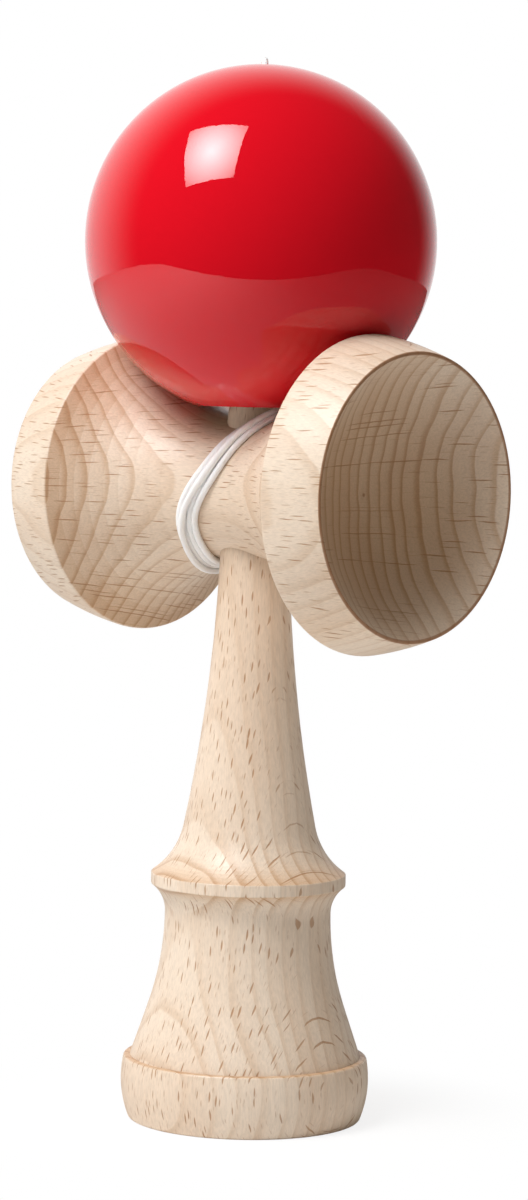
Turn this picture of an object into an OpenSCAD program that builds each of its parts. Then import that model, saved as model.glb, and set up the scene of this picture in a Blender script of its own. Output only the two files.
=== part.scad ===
// Kendama: a turned wooden stick and cross piece, a lacquered ball and a wound cord.
// Z is the stick's axis with the base at 0. X is the cross piece's axis, with the big cup at +X.

/* [Tama] */
// Diameter of the ball
tama_d = 60.5; // [58:0.5:63]
// Diameter of the blind hole that takes the spike
hole_d = 20; // [19:0.2:21]
// Width of the bevel round the hole's mouth
mouth_bevel = 0.8; // [0.4:0.1:1.2]
// Depth of the blind hole, measured from its mouth
hole_depth = 42; // [41:0.5:44]
// Diameter of the cord hole at the top
top_hole_d = 2.6; // [2.2:0.1:3.2]
// Depth of the countersink of that hole
top_sink = 1.6; // [1.2:0.1:2]
// Gap between the ball and the shoulders that it rests on
seat_gap = 0.3; // [0.2:0.05:0.6]

/* [Sarado] */
// Distance from the middle to each rim
rim_x = 36.9; // [35:0.1:39]
// Radius of the waist
waist_r = 11.65; // [11:0.05:12.2]
// Radius of the big cup's shoulder
big_shoulder_r = 27.1; // [26:0.1:28]
// Distance from the middle to the big cup's shoulder
big_shoulder_x = 26.4; // [25:0.1:28]
// Radius of the big cup's rim
big_rim_r = 24.3; // [23:0.1:25]
// Depth of the big cup's bowl
big_bowl_depth = 12; // [10:0.1:13]
// Radius of the small cup's shoulder
small_shoulder_r = 25.9; // [25:0.1:27]
// Distance from the middle to the small cup's shoulder
small_shoulder_x = 25.8; // [24:0.1:27]
// Radius of the small cup's rim
small_rim_r = 23.3; // [22:0.1:24]
// Depth of the small cup's bowl
small_bowl_depth = 11; // [9:0.1:12]
// Width of the flat land on each rim
rim_land = 0.5; // [0.4:0.1:1]
// Height of the crown on each cup's outer band
band_crown = 0.25; // [0.1:0.05:0.5]

/* [Ken] */
// Length of the stick
ken_h = 151; // [148:0.5:153]
// Length of the spike above the cross piece's waist
spike_l = 29.85; // [27:0.05:32]
// Radius of the seat's lower end
seat_bottom_r = 6; // [5.8:0.05:6.3]
// Radius of the seat's upper end
seat_top_r = 5.2; // [5:0.05:5.6]
// Radius of the rounded tip
tip_r = 1.9; // [1.5:0.1:2.5]
// Radial clearance of the cross piece on the seat
taper_fit = 0.02; // [0.01:0.01:0.05]
// Radius of the collar
collar_r = 16.9; // [16:0.1:18]
// Height of the collar's upper edge
collar_z = 42.85; // [40:0.05:46]
// Thickness of the collar
collar_h = 1.95; // [1.5:0.05:3]
// Radius of the cove below the collar
collar_cove_r = 6; // [5:0.5:8]
// Radius of the neck below the collar
neck_r = 14.4; // [13.5:0.1:15]
// Radius of the skirt where it meets the foot
skirt_r = 20.05; // [19.5:0.05:20.4]
// Height of the foot
foot_h = 10.9; // [9:0.1:12]
// Largest radius of the foot
foot_r = 21.55; // [21:0.05:22.5]
// Height of the foot's largest radius
foot_belly_z = 7; // [5:0.5:8]
// Radius of the foot's rounded side, seen in profile
foot_crown_r = 18.4; // [15:0.2:25]
// Radius of the base cup's mouth
base_cup_r = 17.4; // [16:0.1:18]
// Depth of the base cup
base_cup_depth = 7.5; // [6:0.5:9]

/* [Cord] */
// Diameter of the cord
cord_d = 1.2; // [1:0.1:1.4]
// Distance between the middles of neighbouring turns
turn_pitch = 1.66; // [1.62:0.01:1.8]
// Diameter of the cord holes in the stick and the cross piece
cord_hole_d = 2.6; // [2.2:0.1:3]
// Diameter of the bead
bead_d = 6.4; // [5:0.1:8]
// Height of the bead
bead_h = 5.2; // [4:0.1:6]
// Diameter of the bead's bore
bead_bore_d = 2.2; // [1.8:0.1:2.6]
// Diameter of the cord's knots
knot_d = 3.4; // [3:0.1:4]

/* [Hidden] */
$fn = 96;
overrun = 1;
arc_steps = 12;
ease_steps = 4;
// Rounds and angles of the turned profiles
edge_ease = 0.5;
fine_ease = 0.25;
handle_flare_angle = 11.3;
handle_cove_angle = 55.8;
skirt_angle = 18.8;
crown_shares = [0.2, 0.4, 0.6, 0.8];
// Countersink of the cross piece's cord hole, depth of the knot in the stick and its play there
hole_sink = 1.9;
knot_inset = 2.2;
knot_play = 0.1;
knot_h_share = 0.76;

// Points on the round of radius r that eases the corner b between a and c
function unit(v) = v / norm(v);
function eased(a, b, c, r) =
    let (u = unit(a - b), v = unit(c - b), half = acos(u * v) / 2, m = unit(u + v),
         o = b + m * r / sin(half), p = b + u * r / tan(half), q = b + v * r / tan(half))
    [for (i = [0 : ease_steps]) o + r * unit((p - o) * (ease_steps - i) + (q - o) * i)];

// Points of a turned cove from point p, whose slope from the axis goes from angle a0 to a1
function cove(p, r, a0, a1) =
    [for (i = [0 : arc_steps]) let (a = a0 + (a1 - a0) * i / arc_steps)
        [p.x + r * (cos(a0) - cos(a)), p.y - r * (sin(a) - sin(a0))]];

// Sizes of the ball
tama_r = tama_d / 2;
hole_r = hole_d / 2;
mouth_r = hole_r + mouth_bevel;
mouth_drop = sqrt(tama_r ^ 2 - mouth_r ^ 2);
// The ball's height above the cross piece's axis, from the first point of a cup's back that it meets
seat_r = tama_r + seat_gap;
function seat_rise(back) = max([for (p = back) p.y < seat_r ? p.x + sqrt(seat_r ^ 2 - p.y ^ 2) : 0]);
sarado_z = ken_h - spike_l - waist_r;
tama_z = sarado_z + max(seat_rise(back_points(big_shoulder_x, big_shoulder_r)),
                        seat_rise(back_points(small_shoulder_x, small_shoulder_r)));
mouth_z = tama_z - mouth_drop;
hole_top_z = mouth_z + hole_depth;

// Sizes of the stick's seat, and of the pocket in it that takes the knot
seat_angle = atan((seat_bottom_r - seat_top_r) / (2 * waist_r));
seat_mid_r = (seat_bottom_r + seat_top_r) / 2;
knot_h = knot_d * knot_h_share;
pocket_d = knot_d + 2 * seat_gap;
pocket_y = seat_mid_r - knot_inset - knot_h;
knot_y = pocket_y + knot_play;
bead_z = hole_top_z - seat_gap - bead_h;

// The handle
handle_top = [seat_bottom_r, sarado_z - waist_r];
handle_drop = handle_top.y - collar_z;
handle_gain = collar_r - seat_bottom_r;
// Radii of two tangent coves, found from the height and the width that they span together
ca = cos(seat_angle) - cos(handle_flare_angle);
cb = cos(handle_flare_angle) - cos(handle_cove_angle);
sa = sin(handle_flare_angle) - sin(seat_angle);
sb = sin(handle_cove_angle) - sin(handle_flare_angle);
handle_cove_r = (handle_gain * sa - handle_drop * ca) / (cb * sa - sb * ca);
handle_curve_r = (handle_drop - handle_cove_r * sb) / sa;
handle_points = cove(handle_top, handle_curve_r, seat_angle, handle_flare_angle);
flare_end = handle_points[arc_steps];
collar_points = cove(flare_end, handle_cove_r, handle_flare_angle, handle_cove_angle);

// The collar's underside, the skirt and the foot
neck_z = collar_z - collar_h - sqrt(collar_cove_r ^ 2 - (collar_cove_r - collar_r + neck_r) ^ 2);
under_angle = acos(1 - (collar_r - neck_r) / collar_cove_r);
under_points = [for (i = [0 : arc_steps]) let (a = under_angle * (1 - i / arc_steps))
    [neck_r + collar_cove_r * (1 - cos(a)), neck_z + collar_cove_r * sin(a)]];
skirt_gain = skirt_r - neck_r;
skirt_drop = neck_z - foot_h;
skirt_cove_r = (skirt_drop * sin(skirt_angle) - skirt_gain * cos(skirt_angle)) / (1 - cos(skirt_angle));
skirt_points = cove([neck_r, neck_z], skirt_cove_r, 0, skirt_angle);

function foot_at(z) = foot_r - foot_crown_r + sqrt(foot_crown_r ^ 2 - (z - foot_belly_z) ^ 2);
foot_points = [for (i = [1 : arc_steps - 1]) let (z = foot_h * (1 - i / arc_steps)) [foot_at(z), z]];

// The tip is a round that is tangent to the spike's cone
tip_z = ken_h - tip_r;
seat_top = [seat_top_r, sarado_z + waist_r];
tip_angle = atan(seat_top.x / (tip_z - seat_top.y)) - asin(tip_r / norm([seat_top.x, tip_z - seat_top.y]));
tip_points = [for (i = [0 : arc_steps]) let (a = 90 - (90 - tip_angle) * i / arc_steps)
    [tip_r * cos(a), tip_z + tip_r * sin(a)]];
collar_low = [collar_r, collar_z - collar_h];
foot_top = [foot_at(foot_h), foot_h];
foot_low = [foot_at(0), 0];
foot_ease = min(edge_ease, (foot_top.x - skirt_r) / 2);

ken_profile = concat(
    [[0, 0], [0, ken_h]],
    [for (i = [1 : arc_steps]) tip_points[i]],
    [seat_top],
    handle_points,
    [for (i = [1 : arc_steps - 1]) collar_points[i]],
    eased(collar_points[arc_steps - 1], [collar_r, collar_z], collar_low, fine_ease),
    eased([collar_r, collar_z], collar_low, under_points[1], fine_ease),
    [for (i = [1 : arc_steps]) under_points[i]],
    [for (i = [1 : arc_steps]) skirt_points[i]],
    [[skirt_r, foot_h]],
    eased([skirt_r, foot_h], foot_top, foot_points[0], foot_ease),
    foot_points,
    eased(foot_points[arc_steps - 2], foot_low, [0, 0], edge_ease));

// A ball that cuts a bowl of mouth radius r and the given depth below the origin's plane
module bowl_cut(r, depth) {
    bowl_r = (r ^ 2 + depth ^ 2) / (2 * depth);
    translate([0, 0, bowl_r - depth]) sphere(bowl_r);
}

module ken() color("burlywood") difference() {
    rotate_extrude() polygon(ken_profile);
    mirror([0, 0, 1]) bowl_cut(base_cup_r, base_cup_depth);
    translate([0, 0, sarado_z]) rotate([90, 0, 0]) {
        cylinder(d = cord_hole_d, h = 2 * seat_bottom_r + overrun, center = true);
        translate([0, 0, pocket_y]) cylinder(d = pocket_d, h = seat_bottom_r);
    }
}

// Half of the cross piece's profile, from its waist to its rim
function back_points(sx, sr) =
    let (rise = sr - waist_r, r = (sx ^ 2 + rise ^ 2) / (2 * rise), a = asin(sx / r))
    [for (i = [0 : arc_steps]) [waist_r + r * (1 - cos(a * i / arc_steps)), r * sin(a * i / arc_steps)]];
function band_points(a, b) =
    [for (t = crown_shares) a + (b - a) * t + [4 * band_crown * t * (1 - t), 0]];
function half_profile(sx, sr, rr) =
    let (back = back_points(sx, sr), rim = [rr, rim_x], band = band_points([sr, sx], rim))
    concat([[0, 0]], [for (i = [0 : arc_steps - 1]) back[i]],
        eased(back[arc_steps - 1], [sr, sx], band[0], edge_ease), band,
        eased(band[len(band) - 1], rim, [0, rim_x], fine_ease), [[0, rim_x]]);

module cup_half(sx, sr, rr, depth) difference() {
    rotate_extrude() polygon(half_profile(sx, sr, rr));
    translate([0, 0, rim_x]) bowl_cut(rr - rim_land, depth);
}

module sarado() color("burlywood") translate([0, 0, sarado_z]) difference() {
    union() {
        rotate([0, 90, 0]) cup_half(big_shoulder_x, big_shoulder_r, big_rim_r, big_bowl_depth);
        rotate([0, -90, 0]) cup_half(small_shoulder_x, small_shoulder_r, small_rim_r, small_bowl_depth);
    }
    seat_bore();
    rotate([-90, 0, 0]) sunk_hole(cord_hole_d, hole_sink, waist_r);
}

// A hole of the given depth that opens into a countersink at its upper end
module sunk_hole(d, sink, depth) {
    cylinder(d = d, h = depth + overrun);
    translate([0, 0, depth - sink]) cylinder(d1 = d, d2 = d + 2 * (sink + overrun), h = sink + overrun);
}

// The bore follows the seat's taper, and runs out past the cross piece at both ends
bore_over = big_shoulder_r - waist_r;
bore_lean = (bore_over + waist_r) * tan(seat_angle);
module seat_bore() {
    translate([0, 0, -waist_r - bore_over])
        cylinder(r1 = seat_mid_r + bore_lean + taper_fit, r2 = seat_mid_r - bore_lean + taper_fit,
                 h = 2 * (waist_r + bore_over));
}

module tama() color("crimson") translate([0, 0, tama_z]) difference() {
    sphere(tama_r);
    translate([0, 0, -tama_r]) cylinder(r = hole_r, h = tama_r - mouth_drop + hole_depth);
    translate([0, 0, -tama_r]) cylinder(r1 = mouth_r + tama_r - mouth_drop, r2 = hole_r,
                                        h = tama_r - mouth_drop + mouth_bevel);
    sunk_hole(top_hole_d, top_sink, tama_r);
}

module bead() color("ivory") translate([0, 0, bead_z]) difference() {
    intersection() {
        translate([0, 0, bead_h / 2]) sphere(d = bead_d);
        cylinder(d = bead_d, h = bead_h);
    }
    translate([0, 0, -overrun]) cylinder(d = bead_bore_d, h = bead_h + 2 * overrun);
}

// A pulled-tight knot, flat where the cord leaves it
module knot() intersection() {
    translate([0, 0, -knot_h / 2]) sphere(d = knot_d);
    translate([0, 0, -knot_h]) cylinder(d = knot_d, h = knot_h);
}

module bead_knot() color("white") translate([0, 0, bead_z]) knot();

module ken_knot() color("white") translate([0, -knot_y, sarado_z]) rotate([-90, 0, 0]) knot();

// The winding: five turns in a tilted ring round the waist, three on the wood and two in their hollows
wind_steps = 24;
ring_mid = -0.5;
ring_reach = 7.9;
ring_ease = 0.4;
ring_back = 4.6;
cord_gap = 0.22;
bend_share = 2.5;
cord_lift = cord_d / 2 + cord_gap;
nest_h = turn_pitch * sqrt(3) / 2;
saddle_r = (big_shoulder_x ^ 2 + (big_shoulder_r - waist_r) ^ 2) / (2 * (big_shoulder_r - waist_r));

// Place of the ring along the cross piece, by its angle from the front over the top
function ring_x(a) = ring_mid + (cos(a) >= 0 ? ring_reach * sin(a) + ring_ease * sin(5 * a)
    : (ring_reach + ring_ease) * sin(a) + ring_back * cos(a) ^ 2);
function waist_at(x) = waist_r + saddle_r - sqrt(saddle_r ^ 2 - x ^ 2);
function round_point(x, r, a) = [x, -r * cos(a), sarado_z + r * sin(a)];
function ring_point(a) = round_point(ring_x(a), waist_at(ring_x(a)), a);
// Direction along the ring, and the wood's own normal there
function ring_way(a) = unit(ring_point(a + 0.5) - ring_point(a - 0.5));
function wood_normal(a) =
    let (x = ring_x(a), lean = asin(x / saddle_r)) [-sin(lean), -cos(a) * cos(lean), sin(a) * cos(lean)];

// Lanes of the turns, in pitches across the ring, first the one that comes out of the cord hole
hole_lane = -(ring_mid + ring_back) * abs(ring_way(180).z) / turn_pitch;
lanes = [hole_lane, -1, 0, 1, 0.5, -0.5, -1.5];
layers = [0, 0, 0, 0, 1, 1, 1];
function ramp(a, a0, a1) = let (t = max(0, min(1, (a - a0) / (a1 - a0)))) t * t * (3 - 2 * t);
function mix(a, b, t) = a + (b - a) * t;
// Turn k changes from lane k to lane k + 1 behind the cross piece, at an angle b past the top
function lane_at(k, b) = mix(lanes[k], lanes[k + 1], layers[k] == 1 ? ramp(b, 0, 50) : ramp(b, 90, 145));
function layer_at(k, b) =
    layers[k] == 1 ? nest_h + (turn_pitch - nest_h) * (ramp(b, 0, 15) - ramp(b, 145, 175))
    : layers[k + 1] == 1 ? turn_pitch * ramp(b, 50, 88) - (turn_pitch - nest_h) * ramp(b, 145, 175)
    : 0;
function wind_point(b) =
    let (k = floor(b / 360), d = b - 360 * k, a = d + 90, n = wood_normal(a), w = cross(n, ring_way(a)))
    ring_point(a) + w * lane_at(k, d) * turn_pitch * side + n * (cord_lift + layer_at(k, d));
side = sign(cross(wood_normal(0), ring_way(0)).x);

wind_first = 120;
wind_last = 5 * 360 + 60;
wind_body = [for (b = [wind_first : 360 / wind_steps : wind_last]) wind_point(b)];
wind_count = len(wind_body);
wind_end = wind_body[wind_count - 1];
wind_way = unit(wind_end - wind_body[wind_count - 2]);
// The cord comes straight through the stick and the cross piece, and bends over into the first turn
bend_r = bend_share * cord_d;
bend_y = waist_r + cord_lift - bend_r;
bend_way = unit(wind_body[0] - [0, bend_y + bend_r, sarado_z]);
bend_points = [for (a = [0 : 30 : 90])
    [0, bend_y + bend_r * sin(a), sarado_z] + bend_r * (1 - cos(a)) * bend_way];
wind_start = [for (t = [0 : 3]) [0, mix(-knot_y, bend_y, t / 4), sarado_z]];
wind_route = concat(wind_start, bend_points, wind_body, [wind_end + cord_d * wind_way]);

// Routes of the cord's other two stretches, with heights from the cross piece's axis
slack_turn = [[3.7, 16.3, 3.7], [3.6, 18, 0.3], [3.5, 18.9, -3.7], [3.2, 20, -7.7], [2.6, 22.4, -10.7],
    [1.8, 25.6, -11.5], [1, 28.5, -9.6], [0.4, 30.4, -5.9], [0, 31.2, -0.9], [0, 31.3, 4.5],
    [0, 31.3, 10.5], [0, 31.3, 16.5], [0, 31.3, 22.5], [0, 31.3, 28.5], [0, 31.3, 34.5], [0, 31.3, 42]];
over_ball = [[0, 0, 54], [0, 0, 58], [0, 0, 62], [0, 0, 66], [0, 0, 69], [0, 0, 70.9],
    [-0.2, 0.3, 72.3], [-0.9, 0.9, 73.2], [-1.8, 1.9, 73.6], [-3.4, 3.7, 73.3], [-5.7, 6.4, 72.5],
    [-7.7, 9.4, 71.3], [-9, 12.8, 69.5], [-9.2, 16.9, 67.1], [-8.3, 21, 64.2], [-6.4, 24.5, 60.9],
    [-3.9, 27.3, 57.1], [-1.6, 29.4, 53.2], [-0.2, 30.7, 49], [0, 31.3, 45.1], [0, 31.3, 42.1]];
function raised(route) = [for (p = route) p + [0, 0, sarado_z]];
joint_gap = 0.05;
slack_start = [for (run = [cord_d + joint_gap, 2 * cord_d]) wind_end + run * wind_way];
slack_route = concat(slack_start, raised(slack_turn));
over_route = concat([[0, 0, bead_z]], raised(over_ball));

// A tube of the given number of sides along a route
function way_at(p, i) = unit(p[min(i + 1, len(p) - 1)] - p[max(i - 1, 0)]);
function ring_at(p, i, sides) =
    let (t = way_at(p, i), u = unit([1, 0, 0] - t.x * t), v = cross(t, u))
    [for (j = [0 : sides - 1]) p[i] + cord_d / 2 * (cos(360 * j / sides) * u + sin(360 * j / sides) * v)];
module tube(p, sides) {
    count = len(p);
    points = [for (i = [0 : count - 1]) each ring_at(p, i, sides)];
    walls = [for (i = [0 : count - 2], j = [0 : sides - 1])
        let (a = i * sides + j, b = i * sides + (j + 1) % sides)
        each [[a, a + sides, b], [b, a + sides, b + sides]]];
    last = (count - 1) * sides;
    caps = [for (j = [1 : sides - 2]) each [[0, j, j + 1], [last, last + j + 1, last + j]]];
    polyhedron(points, concat(walls, caps));
}

module cord_winding() color("white") tube(wind_route, 6);
module cord_slack() color("white") tube(slack_route, 8);
module cord_over_ball() color("white") tube(over_route, 8);

// Least gap of the winding to itself, over points that lie more than half a turn apart
wind_gap = min([for (i = [0 : wind_count - 1], j = [i + wind_steps / 2 : 1 : wind_count - 1])
    norm(wind_body[i] - wind_body[j])]) - cord_d;
echo(winding_gap_mm = wind_gap);
function run_length(p) =
    [for (i = [1 : len(p) - 1]) norm(p[i] - p[i - 1])] * [for (i = [1 : len(p) - 1]) 1];
echo(cord_lengths_mm = [run_length(wind_route), run_length(slack_route), run_length(over_route)]);

ken();
sarado();
tama();
bead();
bead_knot();
ken_knot();
cord_winding();
cord_slack();
cord_over_ball();
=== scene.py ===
"""Looks of a wooden kendama: beech stick and cross piece, lacquered ball and braided cord, in metres."""
import math

import bpy
from mathutils import Matrix, Quaternion, Vector


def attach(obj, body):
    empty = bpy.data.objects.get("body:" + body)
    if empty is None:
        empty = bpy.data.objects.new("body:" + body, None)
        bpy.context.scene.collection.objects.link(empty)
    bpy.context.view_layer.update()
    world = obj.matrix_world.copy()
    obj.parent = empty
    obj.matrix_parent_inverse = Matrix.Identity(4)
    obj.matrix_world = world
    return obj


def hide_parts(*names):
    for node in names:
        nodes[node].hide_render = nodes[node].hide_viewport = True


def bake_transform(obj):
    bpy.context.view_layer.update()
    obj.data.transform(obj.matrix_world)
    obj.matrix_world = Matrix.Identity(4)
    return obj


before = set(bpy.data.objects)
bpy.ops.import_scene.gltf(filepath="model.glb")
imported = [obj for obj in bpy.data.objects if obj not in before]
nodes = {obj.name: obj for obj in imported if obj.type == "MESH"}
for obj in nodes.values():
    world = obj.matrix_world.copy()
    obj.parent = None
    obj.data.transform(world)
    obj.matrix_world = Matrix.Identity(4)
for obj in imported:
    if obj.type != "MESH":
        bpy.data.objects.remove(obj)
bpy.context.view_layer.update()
MM = 0.001

# Camera, fitted to the photograph of 528 x 1200 pixels
IMAGE_LONG_PX = 1200
FOCAL_PX = 3837.8
SENSOR = 36
CAMERA_DISTANCE = 0.6618
CAMERA_SIDE = 0.00012
CAMERA_HEIGHT = 0.1360
VIEW_AZIMUTH = math.radians(43.36)
PITCH = math.radians(3.95)
YAW = math.radians(0.14)
ROLL = math.radians(1.16)


def make_camera():
    forward = Vector((math.sin(YAW) * math.cos(PITCH), math.cos(YAW) * math.cos(PITCH), -math.sin(PITCH)))
    right = Vector((math.cos(YAW), -math.sin(YAW), 0))
    up = right.cross(forward)
    x_axis = right * math.cos(ROLL) + up * math.sin(ROLL)
    y_axis = up * math.cos(ROLL) - right * math.sin(ROLL)
    basis = Matrix((x_axis, y_axis, -forward)).transposed().to_4x4()
    place = Matrix.Translation((CAMERA_SIDE, -CAMERA_DISTANCE, CAMERA_HEIGHT))
    data = bpy.data.cameras.new("camera")
    data.sensor_width = SENSOR
    data.lens = FOCAL_PX * SENSOR / IMAGE_LONG_PX
    data.clip_start = 0.01
    data.clip_end = 20
    camera = bpy.data.objects.new("camera", data)
    camera.matrix_world = Matrix.Rotation(VIEW_AZIMUTH, 4, "Z") @ place @ basis
    bpy.context.scene.collection.objects.link(camera)
    bpy.context.scene.camera = camera


make_camera()

# Cord: the solid's route, with its turns drawn together so that they lie snug on the wood and on each other
CORD_D = 1.14
SARADO_Z = 109.5
WAIST_R = 11.65
SADDLE_R = 30.282
KNOT_Y = 0.916
BEAD_Z = 160.217
END_RUN = 1.2
TURN_PITCH = 1.03
CORD_GAP = 0.04
RING_MID = -0.5
RING_REACH = 7.9
RING_EASE = 0.4
RING_PULL = 2.0
RING_BACK = 4.6
WIND_FIRST = 120
WIND_LAST = 1860
WIND_STEP = 5
BEND_R = 3
TOP_TURN = 4
FAN = 0.12
END_SIDE = -2.5
# Angles past the top, in degrees, over which a turn changes its lane, its spread or its layer
SHIFT_BACK = (90, 145)
SHIFT_END = (0, 50)
CROSS_OVER = (205, 320)
FAN_OPEN = (262, 312)
FAN_CLOSE = (325, 360)
CLIMB = (50, 88)
CLIMB_END = (0, 15)
NEST_FIRST = (145, 175)
NEST_LEAVE = (185, 210)
NEST_LAST = (315, 340)
# Angles from the front over which the ring is pulled towards the small cup
PULL_ON = (-80, 15)
PULL_OFF = (20, 85)
NEST_H = TURN_PITCH * math.sqrt(3) / 2
CORD_LIFT = CORD_D / 2 + CORD_GAP
SLACK_TURN = [
    (3.7, 16.3, 3.7), (3.6, 18, 0.3), (3.5, 18.9, -3.7), (3.2, 20, -7.7), (2.6, 22.4, -10.7),
    (1.8, 25.6, -11.5), (1, 28.5, -9.6), (0.4, 30.4, -5.9), (0, 31.2, -0.9), (0, 31.3, 4.5),
    (0, 31.3, 10.5), (0, 31.3, 16.5), (0, 31.3, 22.5), (0, 31.3, 28.5), (0, 31.3, 34.5), (0, 31.3, 42),
]
OVER_BALL = [
    (0, 0, 54), (0, 0, 58), (0, 0, 62), (0, 0, 66), (0, 0, 69), (0, 0, 70.9), (-0.2, 0.3, 72.3),
    (-0.9, 0.9, 73.2), (-1.8, 1.9, 73.6), (-3.4, 3.7, 73.3), (-5.7, 6.4, 72.5), (-7.7, 9.4, 71.3),
    (-9, 12.8, 69.5), (-9.2, 16.9, 67.1), (-8.3, 21, 64.2), (-6.4, 24.5, 60.9), (-3.9, 27.3, 57.1),
    (-1.6, 29.4, 53.2), (-0.2, 30.7, 49), (0, 31.3, 45.1), (0, 31.3, 42.1),
]


def sin_deg(a):
    return math.sin(math.radians(a))


def cos_deg(a):
    return math.cos(math.radians(a))


def ramp(a, low, high):
    t = max(0.0, min(1.0, (a - low) / (high - low)))
    return t * t * (3 - 2 * t)


def ring_x(a):
    """Place of the winding's ring along the cross piece, by its angle from the front over the top."""
    if cos_deg(a) >= 0:
        front = (a + 180) % 360 - 180
        pull = RING_PULL * (ramp(front, *PULL_ON) - ramp(front, *PULL_OFF))
        return RING_MID + RING_REACH * sin_deg(a) + RING_EASE * sin_deg(5 * a) - pull
    return RING_MID + (RING_REACH + RING_EASE) * sin_deg(a) + RING_BACK * cos_deg(a) ** 2


def ring_point(a):
    x = ring_x(a)
    r = WAIST_R + SADDLE_R - math.sqrt(SADDLE_R**2 - x**2)
    return Vector((x, -r * cos_deg(a), SARADO_Z + r * sin_deg(a)))


def ring_way(a):
    return (ring_point(a + 0.5) - ring_point(a - 0.5)).normalized()


def wood_normal(a):
    lean = math.asin(ring_x(a) / SADDLE_R)
    return Vector((-math.sin(lean), -cos_deg(a) * math.cos(lean), sin_deg(a) * math.cos(lean)))


HOLE_LANE = -(RING_MID + RING_BACK) * abs(ring_way(180).z) / TURN_PITCH
LANE_SIDE = math.copysign(1, wood_normal(0).cross(ring_way(0)).x)
# Lanes of each turn at the top, after its shift at the back, and at the top again
TURNS = [
    (HOLE_LANE, -1.5, -1.5), (-1.5, -0.5, -0.5), (-0.5, 0.5, 0.5), (0.5, 1.5, 1.5), (1.5, -1, 1),
    (1, END_SIDE / TURN_PITCH, END_SIDE / TURN_PITCH),
]


def lane_at(k, b):
    first, back, last = TURNS[k]
    shift = ramp(b, *SHIFT_END) if k > TOP_TURN else ramp(b, *SHIFT_BACK)
    fan = 1 + FAN * (ramp(b, *FAN_OPEN) - ramp(b, *FAN_CLOSE))
    return (first + (back - first) * shift + (last - back) * ramp(b, *CROSS_OVER)) * fan


def layer_at(k, b):
    """Height over the turns on the wood: in their hollows, or a full turn where it crosses them."""
    if k < TOP_TURN:
        return 0.0
    if k > TOP_TURN:
        return NEST_H + (TURN_PITCH - NEST_H) * ramp(b, *CLIMB_END)
    nested = ramp(b, *NEST_FIRST) - ramp(b, *NEST_LEAVE) + ramp(b, *NEST_LAST)
    return TURN_PITCH * ramp(b, *CLIMB) - (TURN_PITCH - NEST_H) * nested


def wind_point(b):
    k, d = divmod(b, 360)
    a = d + 90
    n = wood_normal(a)
    w = n.cross(ring_way(a))
    k = int(k)
    across = lane_at(k, d) * TURN_PITCH * LANE_SIDE
    return ring_point(a) + w * across + n * (CORD_LIFT + layer_at(k, d))


def winding_route():
    """The cord from its knot, out at the back and round the waist, to the end of the last turn."""
    body = [wind_point(b) for b in range(WIND_FIRST, WIND_LAST + 1, WIND_STEP)]
    bend_y = WAIST_R + CORD_LIFT - BEND_R
    way = (body[0] - Vector((0, bend_y + BEND_R, SARADO_Z))).normalized()
    start = [Vector((0, -KNOT_Y + (bend_y + KNOT_Y) * t / 4, SARADO_Z)) for t in range(4)]
    bend = [
        Vector((0, bend_y + BEND_R * sin_deg(a), SARADO_Z)) + way * (BEND_R * (1 - cos_deg(a)))
        for a in range(0, 91, 15)
    ]
    end_way = (body[-1] - body[-2]).normalized()
    return start + bend + body + [body[-1] + end_way * END_RUN], body[-1], end_way


def raised(route):
    return [Vector(p) + Vector((0, 0, SARADO_Z)) for p in route]


def smooth_line(points, pieces=6):
    """Points of a Catmull-Rom curve through the route's points."""
    line = []
    last = len(points) - 1
    for i in range(last):
        p0, p1, p2, p3 = points[max(i - 1, 0)], points[i], points[i + 1], points[min(i + 2, last)]
        for j in range(pieces):
            t = j / pieces
            line.append(
                0.5 * (2 * p1 + (p2 - p0) * t + (2 * p0 - 5 * p1 + 4 * p2 - p3) * t**2
                       + (3 * p1 - p0 - 3 * p2 + p3) * t**3)
            )
    return line + [points[last]]


def tube(name, line, diameter, sides=14):
    """A round tube along a line, with a UV map: u once round it, v along it in diameters."""
    count = len(line)
    ways = [(line[min(i + 1, count - 1)] - line[max(i - 1, 0)]).normalized() for i in range(count)]
    side = ways[0].orthogonal().normalized()
    verts, runs, run = [], [], 0.0
    for i, (point, way) in enumerate(zip(line, ways)):
        side = (side - way * side.dot(way)).normalized()
        other = way.cross(side)
        run += (point - line[i - 1]).length if i else 0.0
        runs.append(run / diameter)
        for j in range(sides):
            turn = 2 * math.pi * j / sides
            verts.append((point + (side * math.cos(turn) + other * math.sin(turn)) * diameter / 2) * MM)
    faces, uvs = [], []
    for i in range(count - 1):
        for j in range(sides):
            k = (j + 1) % sides
            faces.append((i * sides + j, i * sides + k, (i + 1) * sides + k, (i + 1) * sides + j))
            uvs += [(j / sides, runs[i]), ((j + 1) / sides, runs[i]),
                    ((j + 1) / sides, runs[i + 1]), (j / sides, runs[i + 1])]
    faces.append(tuple(reversed(range(sides))))
    faces.append(tuple((count - 1) * sides + j for j in range(sides)))
    uvs += [(0.5, 0.0)] * sides + [(0.5, runs[-1])] * sides
    mesh = bpy.data.meshes.new(name)
    mesh.from_pydata(verts, [], faces)
    layer = mesh.uv_layers.new(name="cord")
    for loop, uv in zip(layer.data, uvs):
        loop.uv = uv
    for polygon in mesh.polygons:
        polygon.use_smooth = len(polygon.vertices) == 4
    obj = bpy.data.objects.new(name, mesh)
    bpy.context.scene.collection.objects.link(obj)
    return obj


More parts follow.
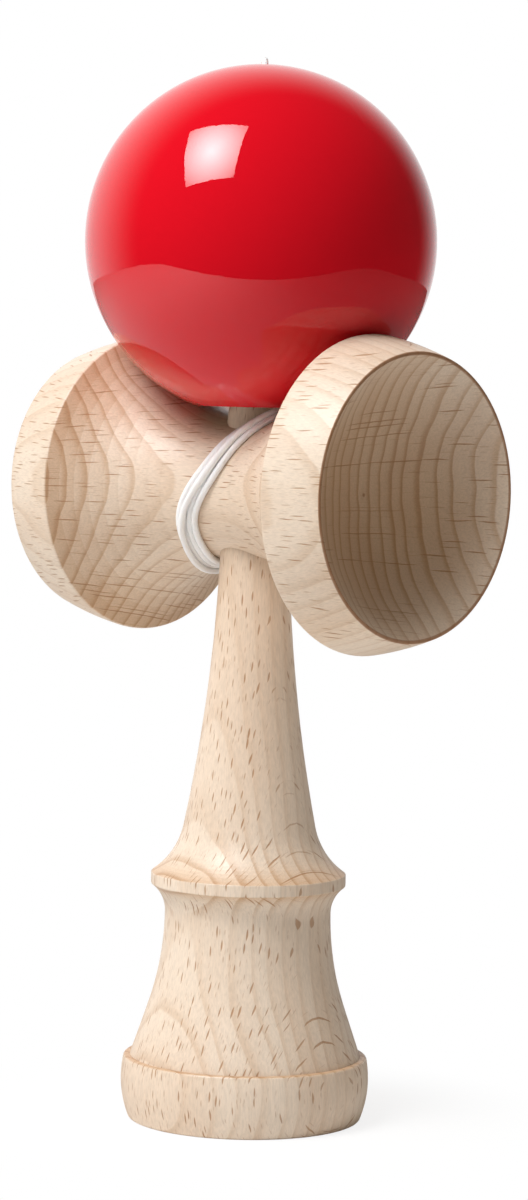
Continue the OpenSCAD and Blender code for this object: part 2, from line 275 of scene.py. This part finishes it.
def make_cords():
    wind, wind_end, wind_way = winding_route()
    slack_start = [wind_end + wind_way * END_RUN, wind_end + wind_way * 2 * END_RUN]
    slack = smooth_line(slack_start + raised(SLACK_TURN))
    over = smooth_line([Vector((0, 0, BEAD_Z))] + raised(OVER_BALL))
    made = {}
    for name, line, node, lay in [
        ("cord_turns", wind, "cord_winding", "coiled"),
        ("cord_loop", slack, "cord_slack", "hanging"),
        ("cord_top", over, "cord_over_ball", "loose"),
    ]:
        piece = tube(name, line, CORD_D)
        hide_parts(node)
        made[name] = piece
    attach(made["cord_turns"], "stick")
    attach(made["cord_top"], "cord_swivel")
    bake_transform(made["cord_loop"])
    return made


cords = make_cords()


class Shader:
    """Short calls that build one material's nodes."""

    def __init__(self, name):
        self.material = bpy.data.materials.new(name)
        self.material.use_nodes = True
        self.tree = self.material.node_tree
        self.surface = self.tree.nodes["Principled BSDF"]

    def put(self, socket, value):
        if isinstance(value, bpy.types.NodeSocket):
            self.tree.links.new(value, socket)
        else:
            socket.default_value = value

    def add(self, kind, settings=None, **inputs):
        node = self.tree.nodes.new(kind)
        for key, value in (settings or {}).items():
            setattr(node, key, value)
        for key, value in inputs.items():
            self.put(node.inputs[key], value)
        return node

    def math(self, operation, *values):
        node = self.add("ShaderNodeMath", {"operation": operation})
        for socket, value in zip(node.inputs, values):
            self.put(socket, value)
        return node.outputs[0]

    def vector(self, x, y, z):
        return self.add("ShaderNodeCombineXYZ", X=x, Y=y, Z=z).outputs[0]

    def dot(self, vector, axis):
        node = self.add("ShaderNodeVectorMath", {"operation": "DOT_PRODUCT"})
        self.put(node.inputs[0], vector)
        self.put(node.inputs[1], axis)
        return node.outputs["Value"]

    def place(self):
        """The point on the object at rest, in millimetres."""
        node = self.add("ShaderNodeVectorMath", {"operation": "SCALE"})
        self.put(node.inputs[0], self.add("ShaderNodeTexCoord").outputs["Object"])
        node.inputs["Scale"].default_value = 1 / MM
        return node.outputs[0]

    def noise(self, vector, detail=2.0, roughness=0.5):
        node = self.add("ShaderNodeTexNoise", Vector=vector, Scale=1.0, Detail=detail, Roughness=roughness)
        return node.outputs[0]

    def smooth(self, value, low, high, start=0.0, end=1.0):
        node = self.add("ShaderNodeMapRange", {"interpolation_type": "SMOOTHSTEP"})
        values = {"Value": value, "From Min": low, "From Max": high, "To Min": start, "To Max": end}
        for key, setting in values.items():
            self.put(node.inputs[key], setting)
        return node.outputs[0]

    def mix(self, share, a, b, blend="MIX"):
        node = self.add("ShaderNodeMix", {"data_type": "RGBA", "blend_type": blend})
        self.put(node.inputs[0], share)
        self.put(node.inputs[6], a)
        self.put(node.inputs[7], b)
        return node.outputs[2]

    def bump(self, height, depth):
        node = self.add("ShaderNodeBump", Height=height, Strength=1.0, Distance=depth)
        self.put(self.surface.inputs["Normal"], node.outputs[0])

    def finish(self, **inputs):
        for key, value in inputs.items():
            self.put(self.surface.inputs[key.replace("_", " ")], value)
        return self.material


# Beech
BEECH_PALE = (0.785, 0.655, 0.525, 1)
BEECH_WARM = (0.735, 0.580, 0.443, 1)
RING_BROWN = (0.50, 0.295, 0.145, 1)
RAY_BROWN = (0.40, 0.195, 0.078, 1)
BURNT_BROWN = (0.36, 0.165, 0.075, 1)
END_GRAIN = (0.82, 0.68, 0.54, 1)
RING_STEP = 2.7
STICK_RAYS = ((0.72, 4.2), (0.12, 1.15), 0.85)
CROSS_RAYS = ((0.78, 5.4), (0.115, 1.6), 0.75)
FLECK_CELL = (0.3, 2.0)
FLECK_HALF = (0.06, 0.6)
FLECK_SHARE = 0.4
RAY_DARKNESS = 0.8
FLECK_DARKNESS = 0.3
# Noise that bends the rings and the rays: its cell across, along and out from the pith, and its size
RING_SWAY = ((17, 55, 24), 4.5)
RING_WOBBLE = ((3, 14, 4), 0.22)
RAY_WANDER = ((5, 5, 7), 0.5)
RING_DRIFT_CELL = 6
RING_DRIFT = 1.2
FIBRE_CELL = (0.28, 2.2, 0.28)
BROAD_CELL = (14, 90, 9)
GRAIN_DEPTH = 0.03
# Parts of a ring, which starts at 0 and ends at 1
LATE_WOOD = (0.2, 0.9)
RING_LINE = (0.6, 0.92)
RING_END = (0.93, 1.0)
END_GRAIN_SLOPE = (0.5, 0.97)
FIBRE_TONE = (0.91, 1.07)
FIBRE_ROUGH = 0.12
WOOD_ROUGH = 0.36
WOOD_IOR = 1.52
# Distance to the pith, and the strength of the ring lines and of the late wood
STICK_RINGS = (90, 0.32, 0.14)
CROSS_RINGS = (150, 0.34, 0.13)
BEAD_RINGS = (60, 0.2, 0.1)
STICK_OUT = Vector((-0.20, -0.98, 0)).normalized()


def rays(s, across, along, narrow, cell, half, share):
    """Lens-shaped ends of the rays, one in each cell at most, darker where they are larger."""
    point = s.vector(s.math("DIVIDE", across, cell[0]), s.math("DIVIDE", along, cell[1]), 0.0)
    cells = s.add("ShaderNodeTexVoronoi", {"voronoi_dimensions": "2D"}, Vector=point, Scale=1.0)
    offset = s.add("ShaderNodeVectorMath", {"operation": "SUBTRACT"})
    s.put(offset.inputs[0], point)
    s.put(offset.inputs[1], cells.outputs["Position"])
    x, y, _ = s.add("ShaderNodeSeparateXYZ", Vector=offset.outputs[0]).outputs
    chance = s.add("ShaderNodeSeparateColor", Color=cells.outputs["Color"]).outputs[0]
    size = s.smooth(chance, 1 - share, 1.0, 0.4, 1.0)
    wide = s.math("ABSOLUTE", s.math("DIVIDE", s.math("MULTIPLY", x, cell[0] / half[0]), size))
    wide = s.math("MULTIPLY", wide, narrow)
    long = s.math("DIVIDE", s.math("MULTIPLY", y, cell[1] / half[1]), size)
    edge = s.math("ADD", wide, s.math("MULTIPLY", long, long))
    chosen = s.math("GREATER_THAN", chance, 1 - share)
    inside = s.math("MULTIPLY", s.smooth(edge, 0.65, 1.15, 1.0, 0.0), chosen)
    return s.math("MULTIPLY", inside, s.smooth(size, 0.4, 0.9, 0.5, 1.0))


def beech(name, centre, along, outward, pith, ring_line, ring_shade, dashes):
    """Beech sawn so that its fibres run along one axis and its growth rings lie across another.
    Rays are thin sheets that run outward: dashes, flecks or lines, by how the wood is cut."""
    s = Shader(name)
    p = s.place()
    move = s.add("ShaderNodeVectorMath", {"operation": "SUBTRACT"})
    s.put(move.inputs[0], p)
    s.put(move.inputs[1], centre)
    q = move.outputs[0]
    a = s.dot(q, along)
    r = s.math("ADD", s.dot(q, outward), pith)
    t = s.dot(q, Vector(along).cross(Vector(outward)))
    from_pith = s.math("SQRT", s.math("ADD", s.math("MULTIPLY", r, r), s.math("MULTIPLY", t, t)))
    radial = s.math("SUBTRACT", from_pith, pith)
    across = s.math("MULTIPLY", s.math("ARCTAN2", t, r), pith)

    def scaled(by_across, by_along, by_radial):
        return s.vector(s.math("DIVIDE", across, by_across), s.math("DIVIDE", a, by_along),
                        s.math("DIVIDE", radial, by_radial))

    def sway(cell, size):
        return s.math("MULTIPLY", s.math("SUBTRACT", s.noise(scaled(*cell)), 0.5), size)

    depth = s.math("ADD", radial, sway(*RING_SWAY))
    depth = s.math("ADD", depth, sway(*RING_WOBBLE))
    drift_at = s.vector(s.math("DIVIDE", depth, RING_DRIFT_CELL), 0.0, 0.0)
    drift = s.math("MULTIPLY", s.noise(drift_at), RING_DRIFT)
    part = s.math("FRACT", s.math("ADD", s.math("DIVIDE", depth, RING_STEP), drift))
    end = s.smooth(part, *RING_END, 1.0, 0.0)
    late = s.math("MULTIPLY", s.smooth(part, *LATE_WOOD), end)
    line = s.math("MULTIPLY", s.smooth(part, *RING_LINE), end)
    wavy = s.math("ADD", across, sway(*RAY_WANDER))
    normal = s.add("ShaderNodeTexCoord").outputs["Normal"]
    slope = s.math("ABSOLUTE", s.dot(normal, along))
    end_grain = s.smooth(slope, *END_GRAIN_SLOPE)
    along_ray = s.math("ABSOLUTE", s.dot(normal, Vector(along).cross(Vector(outward))))
    narrow = s.smooth(along_ray, 0.8, 0.99, 1.0, 1.8)
    faint = s.smooth(along_ray, 0.75, 0.98, 1.0, 0.85)
    ray = s.math("MULTIPLY", rays(s, wavy, a, narrow, *dashes), faint)
    fleck = rays(s, wavy, a, narrow, FLECK_CELL, FLECK_HALF, FLECK_SHARE)
    fibre = s.noise(scaled(*FIBRE_CELL), 2.0, 0.6)
    broad = s.noise(scaled(*BROAD_CELL), 1.0)
    colour = s.mix(s.smooth(broad, 0.3, 0.7), BEECH_PALE, BEECH_WARM)
    ring = s.math("ADD", s.math("MULTIPLY", late, ring_shade), s.math("MULTIPLY", line, ring_line))
    ring = s.math("MULTIPLY", ring, s.smooth(slope, 0.05, 0.6, 0.35, 1.0))
    ring = s.math("MULTIPLY", ring, s.math("ADD", s.math("MULTIPLY", end_grain, 0.5), 1.0))
    colour = s.mix(ring, colour, RING_BROWN)
    colour = s.mix(end_grain, colour, END_GRAIN, "MULTIPLY")
    colour = s.mix(s.math("MULTIPLY", fleck, FLECK_DARKNESS), colour, RAY_BROWN)
    colour = s.mix(s.math("MULTIPLY", ray, RAY_DARKNESS), colour, RAY_BROWN)
    tone = s.smooth(fibre, 0.2, 0.8, *FIBRE_TONE)
    colour = s.mix(1.0, colour, s.vector(tone, tone, tone), "MULTIPLY")
    height = s.math("SUBTRACT", s.math("MULTIPLY", fibre, 0.6), ray)
    s.bump(height, GRAIN_DEPTH * MM)
    rough = s.math("ADD", s.math("MULTIPLY", fibre, FIBRE_ROUGH), WOOD_ROUGH)
    return s, p, colour, rough


def stick_wood():
    s, p, colour, rough = beech("beech_stick", (0, 0, 0), (0, 0, 1), STICK_OUT, *STICK_RINGS, STICK_RAYS)
    return s.finish(Base_Color=colour, Roughness=rough, IOR=WOOD_IOR)


# Cross piece: a brown line burnished on each rim, and the mark of the lathe's centre in each bowl
RIM_X = 36.9
BURNISH_W = 0.22
CENTRE_MARK_R = 0.42
MARK_DARKNESS = 0.75


def cross_wood():
    centre = (0, 0, SARADO_Z)
    s, p, colour, rough = beech("beech_cross", centre, (1, 0, 0), (0, 1, 0), *CROSS_RINGS, CROSS_RAYS)
    xyz = s.add("ShaderNodeSeparateXYZ", Vector=p)
    x = s.math("ABSOLUTE", xyz.outputs[0])
    z = s.math("SUBTRACT", xyz.outputs[2], SARADO_Z)
    y = xyz.outputs[1]
    off_axis = s.math("SQRT", s.math("ADD", s.math("MULTIPLY", y, y), s.math("MULTIPLY", z, z)))
    burnish = s.smooth(x, RIM_X - BURNISH_W, RIM_X - BURNISH_W / 3)
    mark = s.smooth(off_axis, CENTRE_MARK_R / 2, CENTRE_MARK_R, 1.0, 0.0)
    colour = s.mix(s.math("MULTIPLY", burnish, MARK_DARKNESS), colour, BURNT_BROWN)
    colour = s.mix(s.math("MULTIPLY", mark, MARK_DARKNESS), colour, BURNT_BROWN)
    return s.finish(Base_Color=colour, Roughness=rough, IOR=WOOD_IOR)


# Ball: red lacquer outside, bare wood in the hole
LACQUER_RED = (0.660, 0.0035, 0.0125, 1)
LACQUER_ROUGH = 0.015
LACQUER_IOR = 1.54
HOLE_ROUGH = 0.6
HOLE_R = 10.0
HOLE_TOP_Z = 165.717
HOLE_GRAIN = (0.8, 0.8, 9)
PEEL_DEPTH = 0.004


def lacquer():
    s = Shader("red_lacquer")
    p = s.place()
    xyz = s.add("ShaderNodeSeparateXYZ", Vector=p)
    x, y, z = xyz.outputs
    off_axis = s.math("SQRT", s.math("ADD", s.math("MULTIPLY", x, x), s.math("MULTIPLY", y, y)))
    bare = s.math("MULTIPLY", s.smooth(off_axis, HOLE_R + 0.02, HOLE_R + 0.12, 1.0, 0.0),
                  s.smooth(z, HOLE_TOP_Z + 0.2, HOLE_TOP_Z + 0.4, 1.0, 0.0))
    grain_at = s.vector(*(s.math("DIVIDE", value, cell) for value, cell in zip((x, y, z), HOLE_GRAIN)))
    wood = s.mix(s.noise(grain_at, 3.0), BEECH_PALE, BEECH_WARM)
    s.bump(s.noise(p, 1.0), PEEL_DEPTH * MM)
    colour = s.mix(bare, LACQUER_RED, wood)
    rough = s.smooth(bare, 0.0, 1.0, LACQUER_ROUGH, HOLE_ROUGH)
    return s.finish(Base_Color=colour, Roughness=rough, IOR=LACQUER_IOR)


# Braid of the cord: two sets of strands that cross over and under each other
CORD_WHITE = (0.98, 0.975, 0.97, 1)
# painted shade: the darker colour of the braid's hollows, where the strands dip under each other
CORD_HOLLOW_SHADE = (0.97, 0.965, 0.96, 1)
CORD_GLOW_DEPTH = 0.25
BRAID_ROUND = 8
BRAID_ALONG = 2.4
BRAID_DEPTH = 0.03


def braid():
    s = Shader("braided_cord")
    uv = s.add("ShaderNodeSeparateXYZ", Vector=s.add("ShaderNodeTexCoord").outputs["UV"])
    u = s.math("MULTIPLY", uv.outputs[0], BRAID_ROUND)
    v = s.math("MULTIPLY", uv.outputs[1], BRAID_ALONG)
    right = s.math("ADD", u, v)
    left = s.math("SUBTRACT", u, v)

    def strand(across):
        return s.math("SINE", s.math("MULTIPLY", s.math("FRACT", across), math.pi))

    even = s.math("MODULO", s.math("ADD", s.math("FLOOR", right), s.math("FLOOR", left)), 2.0)
    over = s.math("ABSOLUTE", even)
    height = s.math("ADD", s.math("MULTIPLY", strand(right), over),
                    s.math("MULTIPLY", strand(left), s.math("SUBTRACT", 1.0, over)))
    s.bump(height, BRAID_DEPTH * MM)
    # painted shade in the hollows between strands, lighter on the strands' crowns
    colour = s.mix(s.smooth(height, 0.1, 0.75), CORD_HOLLOW_SHADE, CORD_WHITE)
    s.surface.inputs["Subsurface Radius"].default_value = (1.0, 0.95, 0.9)
    return s.finish(Base_Color=colour, Roughness=0.6, IOR=1.5, Sheen_Weight=0.6, Sheen_Roughness=0.5,
                    Subsurface_Weight=0.8, Subsurface_Scale=CORD_GLOW_DEPTH * MM)


def bead_wood():
    centre = (0, 0, BEAD_Z)
    s, p, colour, rough = beech("beech_bead", centre, (0, 0, 1), (0, 1, 0), *BEAD_RINGS, STICK_RAYS)
    return s.finish(Base_Color=colour, Roughness=rough, IOR=WOOD_IOR)


def dress(obj, material):
    obj.data.materials.clear()
    obj.data.materials.append(material)


cord_material = braid()
for piece in cords.values():
    dress(piece, cord_material)
dress(nodes["bead_knot"], cord_material)
dress(nodes["ken_knot"], cord_material)
dress(nodes["ken"], stick_wood())
dress(nodes["sarado"], cross_wood())
dress(nodes["tama"], lacquer())
dress(nodes["bead"], bead_wood())

# Floor, which ends in front of the object as the photograph's table does, and fades into the backdrop
FLOOR_FRONT = 0.33
FLOOR_BACK = 1.6
FLOOR_HALF_W = 0.7
FLOOR_STEPS = 40
FLOOR_ROUND = 0.7
FLOOR_WHITE = (0.94, 0.94, 0.935, 1)
# painted shade: the floor's colour where it is seen in mirrors
FLOOR_MIRRORED_SHADE = (0.28, 0.28, 0.28, 1)
# In mirrors the floor gets painted shade, darker towards the right over this stretch
MIRRORED_SHADE_FADE = (-0.32, 0.22)
# Seen from the camera it turns white over this distance from the object
FLOOR_GLOW = 0.84
FADE_START = 0.021
FADE_END = 0.06


def make_floor():
    turn = Matrix.Rotation(VIEW_AZIMUTH, 4, "Z")
    front = [math.radians(180 + 180 * i / FLOOR_STEPS) for i in range(FLOOR_STEPS + 1)]
    edge = [(FLOOR_HALF_W * math.copysign(abs(math.cos(a)) ** FLOOR_ROUND, math.cos(a)),
             -FLOOR_FRONT * abs(math.sin(a)) ** FLOOR_ROUND) for a in front]
    edge += [(FLOOR_HALF_W, FLOOR_BACK), (-FLOOR_HALF_W, FLOOR_BACK)]
    mesh = bpy.data.meshes.new("floor")
    mesh.from_pydata([turn @ Vector((x, y, 0)) for x, y in edge], [], [range(len(edge))])
    floor = bpy.data.objects.new("floor", mesh)
    bpy.context.scene.collection.objects.link(floor)
    s = Shader("pale_floor")
    spot = s.add("ShaderNodeTexCoord").outputs["Object"]
    path = s.add("ShaderNodeLightPath")
    # painted shade on the floor, only in mirrors, darker towards the right
    dim = s.smooth(s.dot(spot, turn @ Vector((1, 0, 0))), *MIRRORED_SHADE_FADE)
    tone = s.mix(s.math("MULTIPLY", path.outputs["Is Glossy Ray"], dim), FLOOR_WHITE, FLOOR_MIRRORED_SHADE)
    s.finish(Base_Color=tone, Roughness=0.9, IOR=1.3)
    glow = s.add("ShaderNodeEmission", Color=(1, 1, 1, 1), Strength=1.0)
    away = s.add("ShaderNodeVectorMath", {"operation": "LENGTH"})
    s.put(away.inputs[0], spot)
    share = s.smooth(away.outputs["Value"], FADE_START, FADE_END, FLOOR_GLOW, 1.0)
    join = s.add("ShaderNodeMixShader")
    s.put(join.inputs[0], s.math("MULTIPLY", path.outputs["Is Camera Ray"], share))
    s.put(join.inputs[1], s.surface.outputs[0])
    s.put(join.inputs[2], glow.outputs[0])
    s.put(s.tree.nodes["Material Output"].inputs["Surface"], join.outputs[0])
    dress(floor, s.material)


make_floor()

# Light: one large soft lamp high on the left, brightest in its middle, a white backdrop behind the object
# and a dim room that fills from the back and the left
KEY_WAY = Vector((-0.466, -0.388, 0.798))
KEY_DISTANCE = 1.0
KEY_W = 0.56
KEY_H = 0.70
KEY_TURN = math.radians(27)
KEY_POWER = 11.7
KEY_COLOUR = (0.975, 0.985, 1.0)
KEY_CENTRE = 2.1
KEY_CORNER = 0.4
KEY_REACH = 0.7
BALL_Z = 0.152
FRONT_MIRRORED = 0.05
FRONT_FILL = 0.10
BACK_FILL = 0.60
LEFT_FILL = 0.24
FILL_COLOUR = (1.0, 0.90, 0.78, 1)
BACKDROP_WAY = Vector((-0.33, 0.94, 0))
BACKDROP_EDGE = 0.25
BACKDROP_FULL = 0.9
ROOM_WAY = Vector((0.25, 0.97, 0))
ROOM_EDGE = -0.1
ROOM_FULL = 0.7
LEFT_WAY = Vector((-0.9, -0.35, -0.25))
LEFT_EDGE = 0.1
LEFT_FULL = 0.9


def make_key():
    data = bpy.data.lights.new("key", "AREA")
    data.shape = "RECTANGLE"
    data.size = KEY_W
    data.size_y = KEY_H
    data.energy = KEY_POWER
    data.color = KEY_COLOUR
    data.use_nodes = True
    lamp_nodes = data.node_tree.nodes
    links = data.node_tree.links
    spot = lamp_nodes.new("ShaderNodeVectorMath")
    spot.operation = "DISTANCE"
    spot.inputs[1].default_value = (0.5, 0.5, 0)
    links.new(lamp_nodes.new("ShaderNodeNewGeometry").outputs["Parametric"], spot.inputs[0])
    fade = lamp_nodes.new("ShaderNodeMapRange")
    fade.inputs["From Max"].default_value = KEY_REACH
    fade.inputs["To Min"].default_value = KEY_CENTRE
    fade.inputs["To Max"].default_value = KEY_CORNER
    links.new(spot.outputs["Value"], fade.inputs["Value"])
    links.new(fade.outputs[0], lamp_nodes["Emission"].inputs["Strength"])
    key = bpy.data.objects.new("key", data)
    way = Matrix.Rotation(VIEW_AZIMUTH, 3, "Z") @ KEY_WAY.normalized()
    key.location = Vector((0, 0, BALL_Z)) + way * KEY_DISTANCE
    key.rotation_mode = "QUATERNION"
    key.rotation_quaternion = way.to_track_quat("Z", "Y") @ Quaternion((0, 0, 1), KEY_TURN)
    bpy.context.scene.collection.objects.link(key)


def make_world():
    """White to the camera, a backdrop in mirrors, and a warm fill for everything else."""
    world = bpy.data.worlds.new("studio")
    bpy.context.scene.world = world
    world.use_nodes = True
    tree = world.node_tree
    background = tree.nodes["Background"]
    path = tree.nodes.new("ShaderNodeLightPath")
    towards = tree.nodes.new("ShaderNodeTexCoord").outputs["Generated"]

    def facing(way, low, high):
        side = tree.nodes.new("ShaderNodeVectorMath")
        side.operation = "DOT_PRODUCT"
        side.inputs[1].default_value = Matrix.Rotation(VIEW_AZIMUTH, 3, "Z") @ way.normalized()
        tree.links.new(towards, side.inputs[0])
        share = tree.nodes.new("ShaderNodeMapRange")
        share.interpolation_type = "SMOOTHSTEP"
        share.inputs["From Min"].default_value = low
        share.inputs["From Max"].default_value = high
        tree.links.new(side.outputs["Value"], share.inputs["Value"])
        return share.outputs[0]

    def calc(operation, a, b):
        node = tree.nodes.new("ShaderNodeMath")
        node.operation = operation
        for socket, value in zip(node.inputs, (a, b)):
            if isinstance(value, bpy.types.NodeSocket):
                tree.links.new(value, socket)
            else:
                socket.default_value = value
        return node.outputs[0]

    seen = calc("MAXIMUM", path.outputs["Is Camera Ray"], path.outputs["Is Transmission Ray"])
    glossy = path.outputs["Is Glossy Ray"]
    backdrop = facing(BACKDROP_WAY, BACKDROP_EDGE, BACKDROP_FULL)
    mirrored = calc("ADD", calc("MULTIPLY", backdrop, 1 - FRONT_MIRRORED), FRONT_MIRRORED)
    room = facing(ROOM_WAY, ROOM_EDGE, ROOM_FULL)
    left = facing(LEFT_WAY, LEFT_EDGE, LEFT_FULL)
    fill = calc("ADD", calc("MULTIPLY", room, BACK_FILL - FRONT_FILL), FRONT_FILL)
    fill = calc("ADD", fill, calc("MULTIPLY", left, LEFT_FILL))
    matt = calc("SUBTRACT", 1.0, glossy)
    other = calc("ADD", calc("MULTIPLY", glossy, mirrored), calc("MULTIPLY", matt, fill))
    strength = calc("MAXIMUM", seen, other)
    tree.links.new(strength, background.inputs["Strength"])
    tint = tree.nodes.new("ShaderNodeMix")
    tint.data_type = "RGBA"
    tint.inputs[6].default_value = FILL_COLOUR
    tint.inputs[7].default_value = (1, 1, 1, 1)
    tree.links.new(calc("MAXIMUM", seen, glossy), tint.inputs[0])
    tree.links.new(tint.outputs[2], background.inputs["Color"])


make_key()
make_world()
bpy.context.scene.view_settings.view_transform = "Standard"
